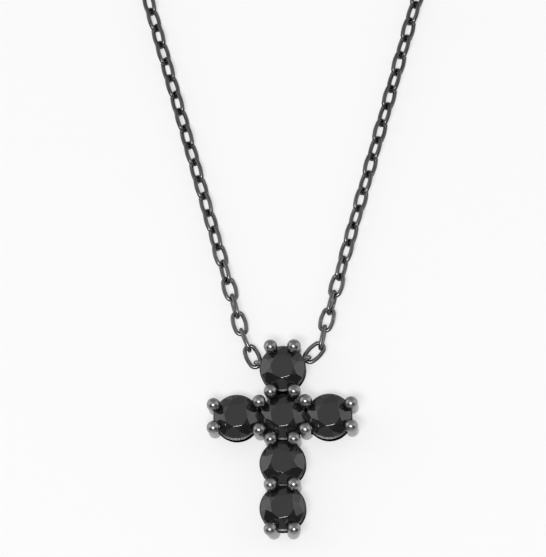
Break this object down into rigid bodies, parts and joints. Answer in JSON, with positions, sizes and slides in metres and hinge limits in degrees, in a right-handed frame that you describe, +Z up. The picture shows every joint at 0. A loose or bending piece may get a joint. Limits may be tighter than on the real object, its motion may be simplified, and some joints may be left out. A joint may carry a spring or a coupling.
{
  "type": "cross pendant necklace",
  "caption": "Small cross pendant of round faceted black stones in a claw setting, on a fine blackened cable chain laid in an open loop.",
  "frame": {"origin": "under the middle of the laid necklace's box, on the surface that it lies on", "axes": "+Y from the cross's foot to its head and on to the closure, +Z up from the setting's open back to the stones' tables, +X to the right seen from above"},
  "size_m": [0.078, 0.1894, 0.0034],
  "materials": {
    "blackened_metal": "polished, blackened plating",
    "blackened_chain": "polished, darker blackened plating",
    "black_stone": "opaque black, faceted and polished"
  },
  "bodies": {
    "root": {"setting": "blackened_metal", "stone_top": "black_stone", "stone_left": "black_stone", "stone_centre": "black_stone", "stone_right": "black_stone", "stone_lower": "black_stone", "stone_bottom": "black_stone", "left_link_01": "blackened_chain", "right_link_01": "blackened_chain", "left_link_02": "blackened_chain", "right_link_02": "blackened_chain", "left_link_03": "blackened_chain", "right_link_03": "blackened_chain", "left_link_04": "blackened_chain", "right_link_04": "blackened_chain", "left_link_05": "blackened_chain", "right_link_05": "blackened_chain", "left_link_06": "blackened_chain", "right_link_06": "blackened_chain", "left_link_07": "blackened_chain", "right_link_07": "blackened_chain", "left_link_08": "blackened_chain", "right_link_08": "blackened_chain", "left_link_09": "blackened_chain", "right_link_09": "blackened_chain", "left_link_10": "blackened_chain", "right_link_10": "blackened_chain", "left_link_11": "blackened_chain", "right_link_11": "blackened_chain", "left_link_12": "blackened_chain", "right_link_12": "blackened_chain", "left_link_13": "blackened_chain", "right_link_13": "blackened_chain", "left_link_14": "blackened_chain", "right_link_14": "blackened_chain", "left_link_15": "blackened_chain", "right_link_15": "blackened_chain", "left_link_16": "blackened_chain", "right_link_16": "blackened_chain", "left_link_17": "blackened_chain", "right_link_17": "blackened_chain", "left_link_18": "blackened_chain", "right_link_18": "blackened_chain", "left_link_19": "blackened_chain", "right_link_19": "blackened_chain", "left_link_20": "blackened_chain", "right_link_20": "blackened_chain", "left_link_21": "blackened_chain", "right_link_21": "blackened_chain", "left_chain_leg": "blackened_chain", "right_chain_leg": "blackened_chain", "left_chain_bend_1": "blackened_chain", "right_chain_bend_1": "blackened_chain", "left_chain_bend_2": "blackened_chain", "right_chain_bend_2": "blackened_chain", "left_chain_bend_3": "blackened_chain", "right_chain_bend_3": "blackened_chain", "end_ring": "blackened_chain", "hook": "blackened_chain", "hook_ring": "blackened_chain"}
  },
  "joints": []
}
